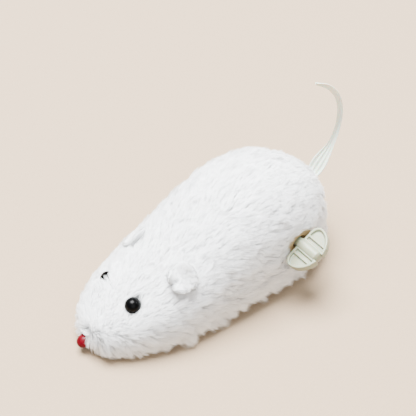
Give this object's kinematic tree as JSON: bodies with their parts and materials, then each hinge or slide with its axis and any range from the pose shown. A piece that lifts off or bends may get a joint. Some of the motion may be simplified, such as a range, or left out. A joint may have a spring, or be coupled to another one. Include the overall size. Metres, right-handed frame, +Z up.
{
  "type": "clockwork mouse",
  "caption": "Wind-up plush mouse on wheels: a spring motor with a side key and a gear train drives the rear wheels under a white pile cover with bead eyes, ears and a strip tail.",
  "frame": {"origin": "centre of the base plate's flat underside; the wheels stand 3.5 mm below it", "axes": "+Z up, -Y towards the nose, +X towards the mouse's left side, where the winding key is"},
  "size_m": [0.0645, 0.1348, 0.0787],
  "materials": {
    "white_plush": "short soft plush pile, matt",
    "fibre_fill": "loose polyester filling",
    "black_bead": "high gloss",
    "red_nose": "gloss",
    "pale_strip": "soft translucent strip, satin",
    "ivory_plastic": "moulded, satin",
    "grey_plastic": "moulded, fine texture",
    "case_plastic": "moulded, satin",
    "gear_nylon": "moulded nylon, satin",
    "steel": "bright drawn steel",
    "spring_steel": "blued strip steel",
    "tyre_rubber": "matt moulded rubber"
  },
  "bodies": {
    "chassis": {"plush_cover": "white_plush", "ear_left": "white_plush", "ear_right": "white_plush", "head_stuffing": "fibre_fill", "back_stuffing": "fibre_fill", "eye_left": "black_bead", "eye_right": "black_bead", "nose": "red_nose", "tail": "pale_strip", "base_plate": "grey_plastic", "motor_case_left": "case_plastic", "motor_case_right": "case_plastic", "mainspring": "spring_steel", "case_screw_1": "steel", "case_screw_2": "steel", "base_screw_1": "steel", "base_screw_2": "steel", "base_screw_3": "steel", "base_screw_4": "steel"},
    "winding": {"winding_key": "ivory_plastic", "winding_arbor": "steel", "ratchet_wheel": "steel"},
    "great": {"great_wheel": "gear_nylon", "click": "spring_steel", "click_rivet": "steel"},
    "second": {"second_arbor": "steel", "second_pinion": "gear_nylon", "second_wheel": "gear_nylon"},
    "drive": {"drive_axle": "steel", "drive_pinion": "gear_nylon", "rear_wheel_left": "grey_plastic", "rear_wheel_right": "grey_plastic", "rear_tyre_left": "tyre_rubber", "rear_tyre_right": "tyre_rubber"},
    "front": {"front_axle": "steel", "front_wheel_left": "grey_plastic", "front_wheel_right": "grey_plastic"}
  },
  "joints": [
    {"name": "key_wind", "type": "hinge", "parent": "chassis", "child": "winding", "pos_m": [0, 0.0307, 0.0213], "axis": [1, 0, 0], "range_deg": [-1710, 0]},
    {"name": "drive_turn", "type": "hinge", "parent": "chassis", "child": "drive", "pos_m": [0, 0.027, 0.0055], "axis": [1, 0, 0], "continuous": true},
    {"name": "great_turn", "type": "hinge", "parent": "chassis", "child": "great", "pos_m": [0, 0.0307, 0.0213], "axis": [1, 0, 0], "continuous": true},
    {"name": "second_turn", "type": "hinge", "parent": "chassis", "child": "second", "pos_m": [0, 0.01796, 0.01339], "axis": [1, 0, 0], "continuous": true},
    {"name": "front_turn", "type": "hinge", "parent": "chassis", "child": "front", "pos_m": [0, -0.031, 0.0035], "axis": [1, 0, 0], "continuous": true}
  ],
  "couplings": [
    {"joint": "second_turn", "follows": "drive_turn", "ratio": -0.33333},
    {"joint": "great_turn", "follows": "drive_turn", "ratio": 0.083333}
  ]
}
